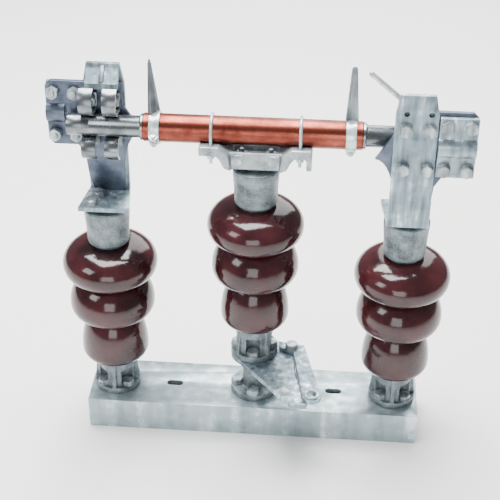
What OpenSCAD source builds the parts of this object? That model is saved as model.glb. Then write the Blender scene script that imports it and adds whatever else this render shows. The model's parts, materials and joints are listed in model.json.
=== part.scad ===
// One pole of a centre-rotating, double-break disconnect switch, drawn closed.
// Origin: centre of the base channel's top face, on the axis of the turning post.
// +X runs along the channel, +Y points to the back, +Z up. All sizes are in millimetres.

/* [Base channel] */
// Length of the channel beyond each outer post's axis
base_end = 31; // [25:1:50]
// Width of the channel's top face
base_w = 80; // [66:1:110]
// Height of the channel, flanges down
base_h = 42; // [34:1:70]
// Thickness of the channel's top face
web_t = 5; // [4:0.5:8]
// Thickness of the two flanges
flange_t = 6; // [4:0.5:9]
// Distance of each fixing slot from the centre
slot_x = 98; // [60:1:130]
// End-to-end length of a fixing slot
slot_len = 20; // [14:1:26]
// Width of a fixing slot
slot_w = 9; // [7:0.5:12]

/* [Insulator posts] */
// Distance from the turning post to each outer post
post_x = 169; // [140:1:210]
// Height of an insulator from its base flange to the top of its cap
post_h = 254; // [230:1:310]
// Radius of the porcelain core
core_r = 20; // [16.5:0.5:24]
// Radius of the top shed
shed_top_r = 55; // [46:0.5:66]
// Radius of the middle shed
shed_mid_r = 50; // [40:0.5:60]
// Radius of the bottom shed
shed_low_r = 40; // [34:0.5:50]
// Radius of a cast base flange
foot_r = 28; // [27:0.5:34]
// Height of a cast base
foot_h = 46; // [40:1:50]
// Wall of a cap round the porcelain core, at its top
cap_wall = 6; // [5:0.5:9]
// Height of a cap
cap_h = 48; // [36:1:52]

/* [Turning bearing] */
// Height of the turning post's base above the channel
post_rise = 59; // [55:1:75]
// Radius of the bearing housing
housing_r = 13.5; // [12:0.5:16]
// Radius of the turning shaft
shaft_r = 8; // [6:0.5:9]
// Radial running clearance of the shaft
shaft_gap = 0.05; // [0.03:0.01:0.1]

/* [Lever] */
// Thickness of the lever plate
lever_t = 6; // [5:0.5:10]
// Reach of the lever in front of the shaft
lever_reach = 98; // [90:1:104]
// Thickness of the rod strap
strap_t = 5; // [4:0.5:8]
// Radius of the rod hole in the strap
rod_hole_r = 5; // [3:0.5:5]

/* [Blade] */
// Height of the blade's axis above the bottom of its cradle
blade_lift = 37.5; // [35:0.5:46]
// Outer radius of the copper tube
tube_r = 15.5; // [13:0.5:18]
// Wall of the copper tube
tube_wall = 3; // [2:0.5:4]
// Distance from the end of the copper tube to the outer post's axis
tube_short = 51; // [45:1:70]
// Shift of the blade along X from the turning axis, where its U-bolts hold it
blade_shift = -4; // [-6:0.5:6]
// Step down from the copper tube's radius to the contact ends'
contact_step = 3.5; // [0.5:0.5:4]
// Reach of each contact end beyond the outer post's axis
blade_end = 33; // [29:1:45]
// Distance of each arcing horn from the end of the copper tube
horn_inset = 12.5; // [8:0.5:30]
// Height of an arcing horn above the blade's axis
horn_h = 80; // [50:1:100]

/* [Jaws and terminals] */
// Width of a jaw bracket
jaw_w = 45; // [45:1:54]
// Gap between the blade and the terminal plate behind it
blade_gap = 5; // [5:0.5:9]
// Thickness of the jaw bracket
jaw_t = 5; // [4:0.5:7]
// Height of the jaw hood above the blade's axis
hood_h = 62.5; // [60:0.5:76]
// Thickness of the terminal plate
terminal_t = 5; // [4:0.5:8]
// Reach of the terminal plate beyond the outer post's axis
terminal_reach = 63; // [62:1:90]
// Height of the terminal pad
terminal_h = 77; // [70:1:84]
// Radius of the conductor in the terminal clamp
conductor_r = 8.5; // [6:0.5:10.5]
// Width of a contact finger
finger_w = 15; // [12:0.5:16]
// Thickness of a contact finger
finger_t = 3; // [2:0.5:4]

/* [Hidden] */
$fn = 64;

// Bolt sizes: shank radius, hole radius, hexagon across flats, head and nut heights
bolt_r = 4;
bolt_hole_r = 4.5;
bolt_flats = 13;
head_h = 5.5;
nut_h = 6.5;
// Gap between curved faces of two bodies that touch on the real switch
touch_gap = 0.3;
bolt_corner_r = bolt_flats / sqrt(3);
base_len = 2 * (post_x + base_end);
// Largest radius of the fillets between the channel's web and flanges
fillet_r = 6;
// Post castings
cap_r = core_r + cap_wall;
foot_flange_t = 8;
foot_bolt_r = foot_r - 7.5;
rib_t = 5;
cement_t = 3;
spacer_t = 5;
spacer_r = 13;
cap_taper = 2.5;
// Sheds: height of each rim above the post's base, and of the dome above it
shed_low_z = 60;
shed_mid_z = 126;
shed_top_z = post_h - 74;
rim_w = 11;
rim_h = 16;
rim_low_h = 13;
dome_low_h = 48;
dome_mid_h = 36;
dome_top_h = post_h - cap_h - shed_top_z;
// Bearing
housing_flange_t = 8;
housing_top = 38;
hub_r = 12.5;
lever_z = post_rise - lever_t;
collar_r = 10.5;
collar_t = 8;
shaft_tail = 6.3;
// Lever: places of the strap's bolt and of its rod end
strap_bolt = [foot_r + 17, 1];
strap_end = [72, -86];
strap_end_r = 11;
// Blade
tube_len = 2 * (post_x - tube_short);
blade_len = 2 * (post_x + blade_end);
contact_r = tube_r - contact_step;
horn_x = tube_len / 2 - horn_inset;
horn_clamp_w = 11;
horn_clamp_t = 2.5;
horn_ear_h = 4.5;
horn_t = 2;
horn_edge_t = 2;
horn_depth = 5;
horn_base_w = 14;
horn_tip_w = 7.6;
spigot_len = 25;
contact_end_t = 5;
u_bolt_x = 48;
u_bolt_r = 1.75;
u_bend_r = tube_r + u_bolt_r + touch_gap;
// Cradle
cradle_z = post_rise + post_h + spacer_t;
blade_z = cradle_z + blade_lift;
cradle_d = 40;
cradle_wall = 5;
tray_top_w = 66;
tray_low_w = 56;
tray_h = 21;
tray_bolt_x = 16;
stud_r = 3;
pad_bolt_x = 20;
pad_bolt_z = 13;
small_flats = 10;
seat_x = [39, 61];
seat_low = 17;
// Jaws
jaw_z = post_h + spacer_t;
jaw_back = contact_r + blade_gap + terminal_t + jaw_t;
jaw_x = post_x - 1;
foot_front = -24;
foot_flare = 6;
foot_bolts = [[post_x + 10, 5], [post_x + 14, -13]];
hood_z = blade_z + hood_h;
hood_w = jaw_w - 9;
hood_reach = 20;
hood_drop = 17;
shoulder_h = 22;
plate_face = jaw_back - jaw_t;
terminal_x = post_x + terminal_reach;
terminal_z = blade_z + 4;
terminal_corner = 6;
clamp_gap = 1;
clamp_w = terminal_x - jaw_x - jaw_w / 2 - 1.5;
clamp_t = 5.5;
clamp_h = terminal_h - 8;
// The conductor's groove stops short of the blade's end
groove_len = terminal_reach - blade_end + blade_shift - 5;
clamp_bolt_z = 25.5;
bulge_r = conductor_r + 4;
groove_y = plate_face + clamp_gap / 2;
finger_x = [jaw_x - 11, jaw_x + 14.5];
finger_bend = 1;
finger_bolt_z = contact_r + touch_gap + finger_t + bolt_flats / 2 + finger_bend + 0.2;
finger_root_h = finger_bolt_z + 9;
upper_lip_h = 55;
lower_lip_h = 40;
spare_hole_z = 41;
spare_hole_r = 3;

// ---------- small helpers ----------

// A hexagonal head or nut with its flats turned by "turn"
module hexagon(h, turn = 0) {
    rotate([0, 0, turn]) cylinder(r = bolt_corner_r, h = h, $fn = 6);
}

// A bolt along +Z: its head sits on z = 0, its nut under z = -grip
module bolt(grip, turn = 0) {
    hexagon(head_h, turn);
    translate([0, 0, -grip - nut_h - 2]) cylinder(r = bolt_r, h = grip + nut_h + 3);
    translate([0, 0, -grip - nut_h]) hexagon(nut_h, turn);
}

// Puts its children at four places on a circle
module on_circle(r, first = 45) {
    for (i = [0:3]) rotate([0, 0, first + 90 * i]) translate([r, 0, 0]) children();
}

// Points of an elliptic arc in the (r, z) half plane
function arc(cr, cz, a, b, from, to, n) =
    [for (i = [0:n]) let (t = from + (to - from) * i / n) [cr + a * cos(t), cz + b * sin(t)]];

// ---------- base and bearing ----------

// The fillet is cut short where the bearing's nuts come close to the flange
module web_fillet(side) {
    r = min(fillet_r, base_w / 2 - flange_t - foot_bolt_r - bolt_flats / 2 - 0.2);
    translate([side * (base_w / 2 - flange_t), -web_t]) difference() {
        translate([side > 0 ? -r : 0, -r]) square([r, r]);
        translate([side > 0 ? -r : r, -r]) circle(r = r);
    }
}

module channel_section() {
    translate([-base_w / 2, -web_t]) square([base_w, web_t]);
    for (side = [-1, 1]) {
        translate([side > 0 ? base_w / 2 - flange_t : -base_w / 2, -base_h]) square([flange_t, base_h]);
        web_fillet(side);
    }
}

module slot_cutter() {
    reach = (slot_len - slot_w) / 2;
    for (side = [-1, 1]) translate([side * reach, 0, -web_t - 1]) cylinder(r = slot_w / 2, h = web_t + 2);
    translate([-reach, -slot_w / 2, -web_t - 1]) cube([2 * reach, slot_w, web_t + 2]);
}

module base_channel() {
    color("#c9d3d6") difference() {
        translate([-base_len / 2, 0, 0]) rotate([90, 0, 90]) linear_extrude(base_len) channel_section();
        for (side = [-1, 1]) {
            translate([side * slot_x, 0, 0]) slot_cutter();
            translate([side * post_x, 0, -web_t - 1])
                on_circle(foot_bolt_r) cylinder(r = bolt_hole_r, h = web_t + 2);
        }
        translate([0, 0, -web_t - 1]) on_circle(foot_bolt_r, 0) cylinder(r = bolt_hole_r, h = web_t + 2);
        translate([0, 0, -web_t - 1]) cylinder(r = shaft_r + 1, h = web_t + 2);
    }
}

module bearing_housing() {
    color("#8f9a9c") difference() {
        union() {
            cylinder(r = foot_r, h = housing_flange_t);
            cylinder(r = housing_r, h = housing_top);
        }
        translate([0, 0, -1]) cylinder(r = shaft_r + shaft_gap, h = housing_top + 2);
        translate([0, 0, -1]) on_circle(foot_bolt_r, 0) cylinder(r = bolt_hole_r, h = housing_flange_t + 2);
        // The heads sit in shallow seats where the flange meets the housing
        translate([0, 0, housing_flange_t - 0.01]) on_circle(foot_bolt_r, 0) cylinder(r = 8, h = head_h + 4);
    }
}

module bearing_bolts() {
    color("#a9b1b4") translate([0, 0, housing_flange_t])
        on_circle(foot_bolt_r, 0) bolt(housing_flange_t + web_t, 30);
}

module turning_shaft() {
    color("#9aa3a6") {
        translate([0, 0, -web_t - collar_t - shaft_tail])
            cylinder(r = shaft_r, h = lever_z + web_t + collar_t + shaft_tail);
        translate([0, 0, housing_top + touch_gap]) cylinder(r = hub_r, h = lever_z - housing_top - touch_gap);
        translate([0, 0, -web_t - touch_gap - collar_t]) cylinder(r = collar_r, h = collar_t);
    }
}

// ---------- insulator posts ----------

module post_foot(first) {
    pocket_r = 8.3;
    color("#7f8b8c") difference() {
        union() {
            cylinder(r = foot_r, h = foot_flange_t);
            cylinder(r1 = foot_r - 6, r2 = core_r + 3, h = foot_h);
            for (i = [0:3]) rotate([0, 0, first + 45 + 90 * i]) translate([0, rib_t / 2, 0])
                rotate([90, 0, 0]) linear_extrude(rib_t)
                    polygon([[0, 0], [foot_r - 1, 0], [foot_r - 1, foot_flange_t + 4],
                             [core_r + 4, foot_h - 4], [0, foot_h - 4]]);
        }
        translate([0, 0, foot_flange_t]) on_circle(foot_bolt_r, first) cylinder(r = pocket_r, h = 22);
        translate([0, 0, -1]) on_circle(foot_bolt_r, first) cylinder(r = bolt_hole_r, h = foot_flange_t + 2);
    }
}

// One shed, from above its dome to the core under it, going down
function shed(r, z, dome_h, under_h) = concat(
    arc(core_r, z, r - core_r, dome_h, 90, 0, 10),
    arc(r - rim_w, z, rim_w, under_h, -12, -90, 6),
    [[core_r + 5, z - under_h + 4], [core_r, z - under_h + 1]]);

module porcelain() {
    top = post_h - cap_h;
    color("#4a1c20") rotate_extrude() polygon(concat(
        [[0, top], [core_r - 1, top]],
        shed(shed_top_r, shed_top_z, dome_top_h, rim_h), shed(shed_mid_r, shed_mid_z, dome_mid_h, rim_h),
        shed(shed_low_r, shed_low_z, dome_low_h, rim_low_h),
        [[core_r, foot_h], [0, foot_h]]));
}

module cap() {
    low = post_h - cap_h;
    color("#8b9698") {
        translate([0, 0, low]) cylinder(r = core_r + 0.5, h = cement_t);
        translate([0, 0, low + cement_t]) cylinder(r1 = cap_r - cap_taper, r2 = cap_r, h = cap_h - cement_t);
    }
}

module post_bolts(first, grip_under) {
    color("#a9b1b4") translate([0, 0, foot_flange_t])
        on_circle(foot_bolt_r, first) bolt(foot_flange_t + grip_under);
}

// Puts its children on the left (-1) or right (+1) outer post
module on_post(side) {
    translate([side * post_x, 0, 0]) children();
}

// ---------- lever ----------

// The lever is a broad gusset: a round end at the shaft that tapers to the front
module lever_outline() {
    circle(r = foot_r);
    polygon([[-foot_r * 0.98, 5], [-26, -11], [48, -lever_reach], [66, -lever_reach],
             [70, -lever_reach + 15], [57, -42], [51, -2], [41, 14], [10, foot_r * 0.93]]);
}

module drive_lever() {
    color("#a7b2b8") difference() {
        translate([0, 0, lever_z]) linear_extrude(lever_t) lever_outline();
        translate([0, 0, lever_z - 1]) on_circle(foot_bolt_r, 0) cylinder(r = bolt_hole_r, h = lever_t + 2);
        translate(concat(strap_bolt, lever_z - 1)) cylinder(r = bolt_hole_r, h = lever_t + 2);
    }
}

module lever_strap() {
    color("#b4bfc4") difference() {
        translate([0, 0, post_rise]) linear_extrude(strap_t)
            polygon(concat(
                [[foot_r + 2.5, 0], [foot_r + 1.5, 11], [foot_r + 32, 6]],
                arc(strap_end[0], strap_end[1], strap_end_r, strap_end_r, 11, -169, 16),
                [[foot_r + 20, -9]]));
        translate(concat(strap_end, post_rise - 1)) cylinder(r = rod_hole_r, h = strap_t + 2);
        translate(concat(strap_bolt, post_rise - 1)) cylinder(r = bolt_hole_r, h = strap_t + 2);
    }
}

module lever_bolts() {
    color("#a9b1b4") translate(concat(strap_bolt, post_rise + strap_t)) bolt(strap_t + lever_t, 20);
}

// ---------- cradle ----------

module tray_section() {
    polygon([[-tray_low_w / 2, 0], [tray_low_w / 2, 0], [tray_top_w / 2, tray_h], [-tray_top_w / 2, tray_h]]);
}

// Side view of one wing: it climbs from the tray and levels out under the tube
module wing_section() {
    polygon([[tray_low_w / 2 - 2, 0], [tray_low_w / 2 + 6, 3], [seat_x[0] - 1, 12], [seat_x[0] + 3, seat_low],
             [seat_x[1], seat_low], [seat_x[1], 28], [seat_x[0], 28], [tray_top_w / 2 - 4, tray_h]]);
}

module cradle() {
    inner = cradle_d - 2 * cradle_wall;
    wing_d = 2 * (u_bend_r + 7);
    color("#b9c2c6") translate([0, 0, cradle_z]) difference() {
        union() {
            translate([0, cradle_d / 2, 0]) rotate([90, 0, 0]) linear_extrude(cradle_d) tray_section();
            for (side = [0, 1]) mirror([side, 0, 0]) translate([0, wing_d / 2, 0])
                rotate([90, 0, 0]) linear_extrude(wing_d) wing_section();
            // The right wing ends in a short leg that leaves an arch beside the tray
            translate([seat_x[1] - 6, -wing_d / 2, 4]) cube([6, wing_d, 15]);
        }
        translate([-tray_low_w / 2 + 4, -inner / 2, cradle_wall]) cube([tray_low_w - 8, inner, tray_h]);
        translate([-seat_x[1] - 1, 0, blade_z - cradle_z]) rotate([0, 90, 0])
            cylinder(r = tube_r + touch_gap, h = 2 * seat_x[1] + 2);
        for (x = [-u_bolt_x, u_bolt_x], y = [-u_bend_r, u_bend_r])
            translate([x, y, -1]) cylinder(r = u_bolt_r + touch_gap, h = tray_h + 20);
        for (x = [-tray_bolt_x, tray_bolt_x]) translate([x, 0, -1])
            cylinder(r = stud_r + touch_gap, h = cradle_wall + 2);
    }
}

module cradle_bolts() {
    color("#c8cfd2") translate([0, 0, cradle_z]) {
        // Two studs that stand in the cap, with a nut each
        for (x = [-tray_bolt_x, tray_bolt_x]) translate([x, 0, cradle_wall]) {
            hexagon(nut_h, 30);
            translate([0, 0, -cradle_wall - spacer_t])
                cylinder(r = stud_r, h = cradle_wall + spacer_t + nut_h + 5);
        }
        // Four pad bolts on the front and the back wall
        for (x = [-pad_bolt_x, pad_bolt_x], side = [-1, 1])
            translate([x, side * cradle_d / 2, pad_bolt_z]) rotate([-side * 90, 0, 0]) {
                translate([-small_flats / 2, -small_flats / 2, 0]) cube([small_flats, small_flats, 2]);
                cylinder(r = small_flats / 2, h = head_h, $fn = 6);
            }
    }
}

module cradle_spacer() {
    color("#5d686b") translate([0, 0, cradle_z - spacer_t]) difference() {
        cylinder(r = spacer_r, h = spacer_t);
        for (x = [-tray_bolt_x, tray_bolt_x]) translate([x, 0, -1])
            cylinder(r = stud_r + touch_gap, h = spacer_t + 2);
    }
}

module u_bolts() {
    leg_low = cradle_z + 6;
    color("#d4dade") for (x = [-u_bolt_x, u_bolt_x]) {
        translate([x, 0, blade_z]) rotate([90, 0, 90]) rotate_extrude(angle = 180)
            translate([u_bend_r, 0]) circle(r = u_bolt_r);
        for (y = [-u_bend_r, u_bend_r]) translate([x, y, leg_low]) {
            cylinder(r = u_bolt_r, h = blade_z - leg_low);
            translate([0, 0, cradle_z + seat_low - leg_low - 4.5]) cylinder(r = 4.6, h = 4.5, $fn = 6);
        }
    }
}

// ---------- blade ----------

module blade_tube() {
    color("#b8695a") translate([blade_shift - tube_len / 2, 0, blade_z]) rotate([0, 90, 0]) difference() {
        cylinder(r = tube_r, h = tube_len);
        translate([0, 0, -1]) cylinder(r = tube_r - tube_wall, h = tube_len + 2);
    }
}

// The silvered end that the jaw grips, with a spigot in the copper tube
module blade_contact(side) {
    spigot_r = tube_r - tube_wall - touch_gap;
    contact_len = (blade_len - tube_len) / 2;
    color("#c3c9cc") translate([blade_shift + side * tube_len / 2, 0, blade_z])
        rotate([0, side * 90, 0]) difference() {
            union() {
                cylinder(r = contact_r, h = contact_len);
                translate([0, 0, -spigot_len]) cylinder(r = spigot_r, h = spigot_len + 1);
            }
            translate([0, 0, -spigot_len - 1])
                cylinder(r = spigot_r - tube_wall, h = spigot_len + 1 + contact_len - contact_end_t);
        }
}

// A band round the tube with two ears and a bolt; the ears point to the angle "turn"
module horn_clamp(turn) {
    inner = tube_r + touch_gap;
    outer = inner + horn_clamp_t;
    color("#b3bcc0") translate([0, 0, blade_z]) rotate([turn, 0, 0]) difference() {
        union() {
            translate([-horn_clamp_w / 2, 0, 0]) rotate([0, 90, 0]) cylinder(r = outer, h = horn_clamp_w);
            translate([0, 5, 0]) rotate([90, 0, 0]) linear_extrude(10)
                polygon([[-horn_clamp_w / 2, -outer + 4], [-horn_clamp_w / 2, -outer],
                         [-2.5, -outer - horn_ear_h], [2.5, -outer - horn_ear_h],
                         [horn_clamp_w / 2, -outer], [horn_clamp_w / 2, -outer + 4]]);
            translate([0, 8, -outer - 1]) rotate([90, 0, 0]) cylinder(r = 3, h = 16, $fn = 6);
        }
        translate([-horn_clamp_w, 0, 0]) rotate([0, 90, 0]) cylinder(r = inner, h = 2 * horn_clamp_w);
        translate([-horn_clamp_w, -1, -outer - horn_ear_h - 1]) cube([2 * horn_clamp_w, 2, 2]);
    }
}

// A tapered strip with thick edges that stands on the clamp, turned and leant outwards
module horn(turn, lean) {
    low = tube_r + touch_gap + horn_clamp_t + touch_gap;
    edge = horn_edge_t;
    color("#8d979b") translate([0, 0, blade_z]) rotate([0, lean, 0]) rotate([0, 0, turn]) {
        translate([0, horn_t / 2, 0]) rotate([90, 0, 0]) linear_extrude(horn_t) {
            polygon([[-horn_base_w / 2, low], [horn_base_w / 2, low],
                     [horn_tip_w / 2, horn_h - horn_tip_w / 2], [-horn_tip_w / 2, horn_h - horn_tip_w / 2]]);
            translate([0, horn_h - horn_tip_w / 2]) circle(r = horn_tip_w / 2);
        }
        for (side = [-1, 1]) translate([0, horn_depth / 2, 0]) rotate([90, 0, 0]) linear_extrude(horn_depth)
            polygon([[side * horn_base_w / 2, low], [side * (horn_base_w / 2 - edge), low],
                     [side * (horn_tip_w / 2 - edge), horn_h - horn_tip_w / 2],
                     [side * horn_tip_w / 2, horn_h - horn_tip_w / 2]]);
    }
}

// ---------- jaws, drawn for the left post ----------

// The left jaw is the module as drawn, and the right one is turned half round
module at_jaw(side) {
    rotate([0, 0, side < 0 ? 0 : 180]) children();
}

module jaw_spacer() {
    color("#5d686b") difference() {
        translate([-post_x, 0, post_h]) cylinder(r = spacer_r, h = spacer_t);
        for (place = foot_bolts)
            translate([-place[0], place[1], post_h - 1]) cylinder(r = bolt_hole_r, h = spacer_t + 2);
    }
}

// Outline (X, Z) of the back plate, whose shoulders narrow to the hood
module back_outline() {
    half = jaw_w / 2;
    polygon([[-jaw_x - half, jaw_z], [-jaw_x + half, jaw_z], [-jaw_x + half, hood_z - shoulder_h],
             [-jaw_x + hood_w / 2, hood_z], [-jaw_x - hood_w / 2, hood_z],
             [-jaw_x - half, hood_z - shoulder_h]]);
}

// Outline (X, Y) of the foot, which widens to the front
module foot_outline() {
    half = jaw_w / 2;
    polygon([[-jaw_x - half, jaw_back], [-jaw_x - half - foot_flare, foot_front],
             [-jaw_x + half + foot_flare, foot_front], [-jaw_x + half, jaw_back]]);
}

// Side view (Y, Z) of the hood, which slopes down over the fingers
module hood_section() {
    slope = hood_drop / hood_reach;
    deep = jaw_t * sqrt(1 + slope * slope);
    polygon([[jaw_back, hood_z], [jaw_back - hood_reach, hood_z - hood_drop],
             [jaw_back - hood_reach, hood_z - hood_drop - deep], [jaw_back, hood_z - deep]]);
}

module jaw_bracket() {
    color("#9aaab0") difference() {
        union() {
            translate([0, 0, jaw_z]) linear_extrude(jaw_t) foot_outline();
            translate([0, jaw_back, 0]) rotate([90, 0, 0]) linear_extrude(jaw_t) back_outline();
            translate([-jaw_x - hood_w / 2, 0, 0]) rotate([90, 0, 90]) linear_extrude(hood_w) hood_section();
        }
        for (x = finger_x) {
            for (z = [-finger_bolt_z, finger_bolt_z])
                translate([-x, plate_face - 1, blade_z + z]) rotate([-90, 0, 0])
                    cylinder(r = bolt_hole_r, h = jaw_t + 2);
            translate([-x, plate_face - 1, blade_z + spare_hole_z]) rotate([-90, 0, 0])
                cylinder(r = spare_hole_r, h = jaw_t + 2);
        }
        for (place = foot_bolts)
            translate([-place[0], place[1], jaw_z - 1]) cylinder(r = bolt_hole_r, h = jaw_t + 2);
    }
}

// Outline (X, Z) of the terminal plate: a stem on the foot that flares in behind the blade
// and out into the terminal pad
module terminal_outline() {
    low = jaw_z + jaw_t;
    pad_low = terminal_z - terminal_h / 2;
    pad_top = terminal_z + terminal_h / 2;
    inner = jaw_x - jaw_w / 2 + 2;
    outer = jaw_x + jaw_w / 2 - 6;
    flare_low = low + 23;
    flare_top = blade_z - contact_r - 4;
    polygon(concat(
        [[-inner - 2, low], [-outer, low], [-outer - 5, low + 16], [-outer - 8, pad_low - 12],
         [-outer - 15, pad_low], [-terminal_x + terminal_corner, pad_low],
         [-terminal_x, pad_low + terminal_corner], [-terminal_x, pad_top - terminal_corner],
         [-terminal_x + terminal_corner, pad_top],
         [-inner, pad_top], [-inner, blade_z + contact_r + 4]],
        arc(-inner + 20, flare_low, 22, flare_top - flare_low, 90, 180, 8)));
}

module clamp_bolt_places() {
    for (x = [terminal_x - 8, terminal_x - 32], z = [-clamp_bolt_z, clamp_bolt_z])
        translate([-x, 0, terminal_z + z]) rotate([-90, 0, 0]) children();
}

module terminal_plate() {
    color("#b9bfc0") difference() {
        union() {
            translate([0, plate_face, 0]) rotate([90, 0, 0]) linear_extrude(terminal_t) terminal_outline();
            translate([-terminal_x, groove_y, terminal_z]) rotate([0, 90, 0])
                cylinder(r = bulge_r, h = groove_len);
        }
        translate([-terminal_x - 1, plate_face, terminal_z - bulge_r - 1])
            cube([groove_len + 2, 2 * bulge_r, 2 * bulge_r + 2]);
        translate([-terminal_x - 1, groove_y, terminal_z]) rotate([0, 90, 0])
            cylinder(r = conductor_r, h = groove_len + 1);
        for (x = finger_x, z = [-finger_bolt_z, finger_bolt_z])
            translate([-x, plate_face - terminal_t - 1, blade_z + z]) rotate([-90, 0, 0])
                cylinder(r = bolt_hole_r, h = terminal_t + 2);
        translate([0, plate_face - terminal_t - 1, 0]) clamp_bolt_places()
            cylinder(r = bolt_hole_r, h = terminal_t + 2);
    }
}

module clamp_plate() {
    back = plate_face + clamp_gap;
    color("#9ba3a2") difference() {
        union() {
            translate([-terminal_x, back, terminal_z - clamp_h / 2]) cube([clamp_w, clamp_t, clamp_h]);
            translate([-terminal_x, groove_y, terminal_z]) rotate([0, 90, 0])
                cylinder(r = bulge_r, h = clamp_w);
        }
        translate([-terminal_x - 1, back - 2 * bulge_r, terminal_z - bulge_r - 1])
            cube([clamp_w + 2, 2 * bulge_r, 2 * bulge_r + 2]);
        translate([-terminal_x - 1, groove_y, terminal_z]) rotate([0, 90, 0])
            cylinder(r = conductor_r, h = groove_len + 1);
        translate([0, back - 1, 0]) clamp_bolt_places() cylinder(r = bolt_hole_r, h = clamp_t + 2);
    }
}

// Side view (Y, Z above the axis) of a finger: bolted root, contact on the blade, flared lip
module finger_section(lip_h) {
    root = plate_face - terminal_t;
    low = contact_r + touch_gap;
    lip = lip_h - low;
    outside = [[root, finger_root_h], [root, low + 3], [root - 3, low], [-2, low],
               [-8, low + 0.12 * lip], [-14, low + 0.4 * lip], [-17, low + 0.72 * lip], [-15, lip_h - 1.5]];
    inside = [[-12.5, lip_h - 2.5], [-13.5, low + 0.74 * lip], [-11, low + 0.48 * lip],
              [-6, low + 0.12 * lip + finger_t], [-1, low + finger_t],
              [root - finger_t - finger_bend, low + finger_t],
              [root - finger_t, low + finger_t + finger_bend], [root - finger_t, finger_root_h]];
    polygon(concat(outside, inside));
}

// Two fingers: dir is 1 for the upper pair and -1 for the lower pair
module fingers(dir) {
    color("#cdd2d4") difference() {
        for (x = finger_x) translate([-x - finger_w / 2, 0, blade_z]) mirror([0, 0, dir < 0 ? 1 : 0])
            rotate([90, 0, 90]) linear_extrude(finger_w)
                finger_section(dir < 0 ? lower_lip_h : upper_lip_h);
        for (x = finger_x) translate([-x, 0, blade_z + dir * finger_bolt_z]) rotate([-90, 0, 0])
            translate([0, 0, plate_face - terminal_t - finger_t - 1])
                cylinder(r = bolt_hole_r, h = finger_t + 2);
    }
}

module jaw_bolts() {
    color("#8c9497") {
        for (x = finger_x, z = [-finger_bolt_z, finger_bolt_z])
            translate([-x, jaw_back, blade_z + z]) rotate([-90, 0, 0]) bolt(jaw_t + terminal_t + finger_t);
        translate([0, plate_face + clamp_gap + clamp_t, 0]) clamp_bolt_places()
            bolt(terminal_t + clamp_gap + clamp_t);
        // The foot's two bolts go down into the cap
        for (place = foot_bolts) translate([-place[0], place[1], jaw_z + jaw_t]) {
            hexagon(head_h);
            translate([0, 0, -jaw_t - spacer_t]) cylinder(r = bolt_r, h = jaw_t + spacer_t + 1);
        }
    }
}

// A straight rod on the right hood that leans up towards the blade's horn
module fixed_horn() {
    color("#b7b1ab") difference() {
        translate([jaw_x - hood_w / 2 + 2, -jaw_back + 7, hood_z - 9]) rotate([0, -50, 0])
            cylinder(r = 2.8, h = 47);
        at_jaw(1) jaw_bracket();
    }
}

// ---------- nodes ----------

base_channel();
bearing_housing();
bearing_bolts();
on_post(-1) post_foot(45);  // left_post_base
on_post(-1) porcelain();  // left_post_porcelain
on_post(-1) cap();  // left_post_cap
on_post(-1) post_bolts(45, web_t);  // left_post_bolts
on_post(1) post_foot(45);  // right_post_base
on_post(1) porcelain();  // right_post_porcelain
on_post(1) cap();  // right_post_cap
on_post(1) post_bolts(45, web_t);  // right_post_bolts
turning_shaft();
drive_lever();
lever_strap();
lever_bolts();
translate([0, 0, post_rise]) post_foot(0);  // centre_post_base
translate([0, 0, post_rise]) porcelain();  // centre_post_porcelain
translate([0, 0, post_rise]) cap();  // centre_post_cap
translate([0, 0, post_rise]) post_bolts(0, lever_t);  // centre_post_bolts
cradle();
cradle_bolts();
cradle_spacer();
u_bolts();
blade_tube();
blade_contact(-1);  // left_blade_contact
blade_contact(1);  // right_blade_contact
translate([blade_shift - horn_x, 0, 0]) horn_clamp(-70);  // left_horn_clamp
translate([blade_shift - horn_x, 0, 0]) horn(50, -3);  // left_horn
translate([blade_shift + horn_x, 0, 0]) horn_clamp(0);  // right_horn_clamp
translate([blade_shift + horn_x, 0, 0]) horn(0, 0);  // right_horn
at_jaw(-1) jaw_spacer();  // left_jaw_spacer
at_jaw(-1) jaw_bracket();  // left_jaw_bracket
at_jaw(-1) terminal_plate();  // left_terminal_plate
at_jaw(-1) clamp_plate();  // left_clamp_plate
at_jaw(-1) fingers(1);  // left_upper_fingers
at_jaw(-1) fingers(-1);  // left_lower_fingers
at_jaw(-1) jaw_bolts();  // left_jaw_bolts
at_jaw(1) jaw_spacer();  // right_jaw_spacer
at_jaw(1) jaw_bracket();  // right_jaw_bracket
at_jaw(1) terminal_plate();  // right_terminal_plate
at_jaw(1) clamp_plate();  // right_clamp_plate
at_jaw(1) fingers(1);  // right_upper_fingers
at_jaw(1) fingers(-1);  // right_lower_fingers
at_jaw(1) jaw_bolts();  // right_jaw_bolts
fixed_horn();  // right_fixed_horn
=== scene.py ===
# %% [markdown]
# # A disconnect switch pole, finished in Blender
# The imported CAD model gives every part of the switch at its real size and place. Here each part
# gets the edges, surface and colour of the real thing: glazed porcelain, hot-dip galvanised steel,
# rough castings, drawn copper and tinned contacts. Nothing is moved: the finish is laid on the frame.

# %% Load the frame
import json
import math

import bpy
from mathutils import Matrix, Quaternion, Vector


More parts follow.
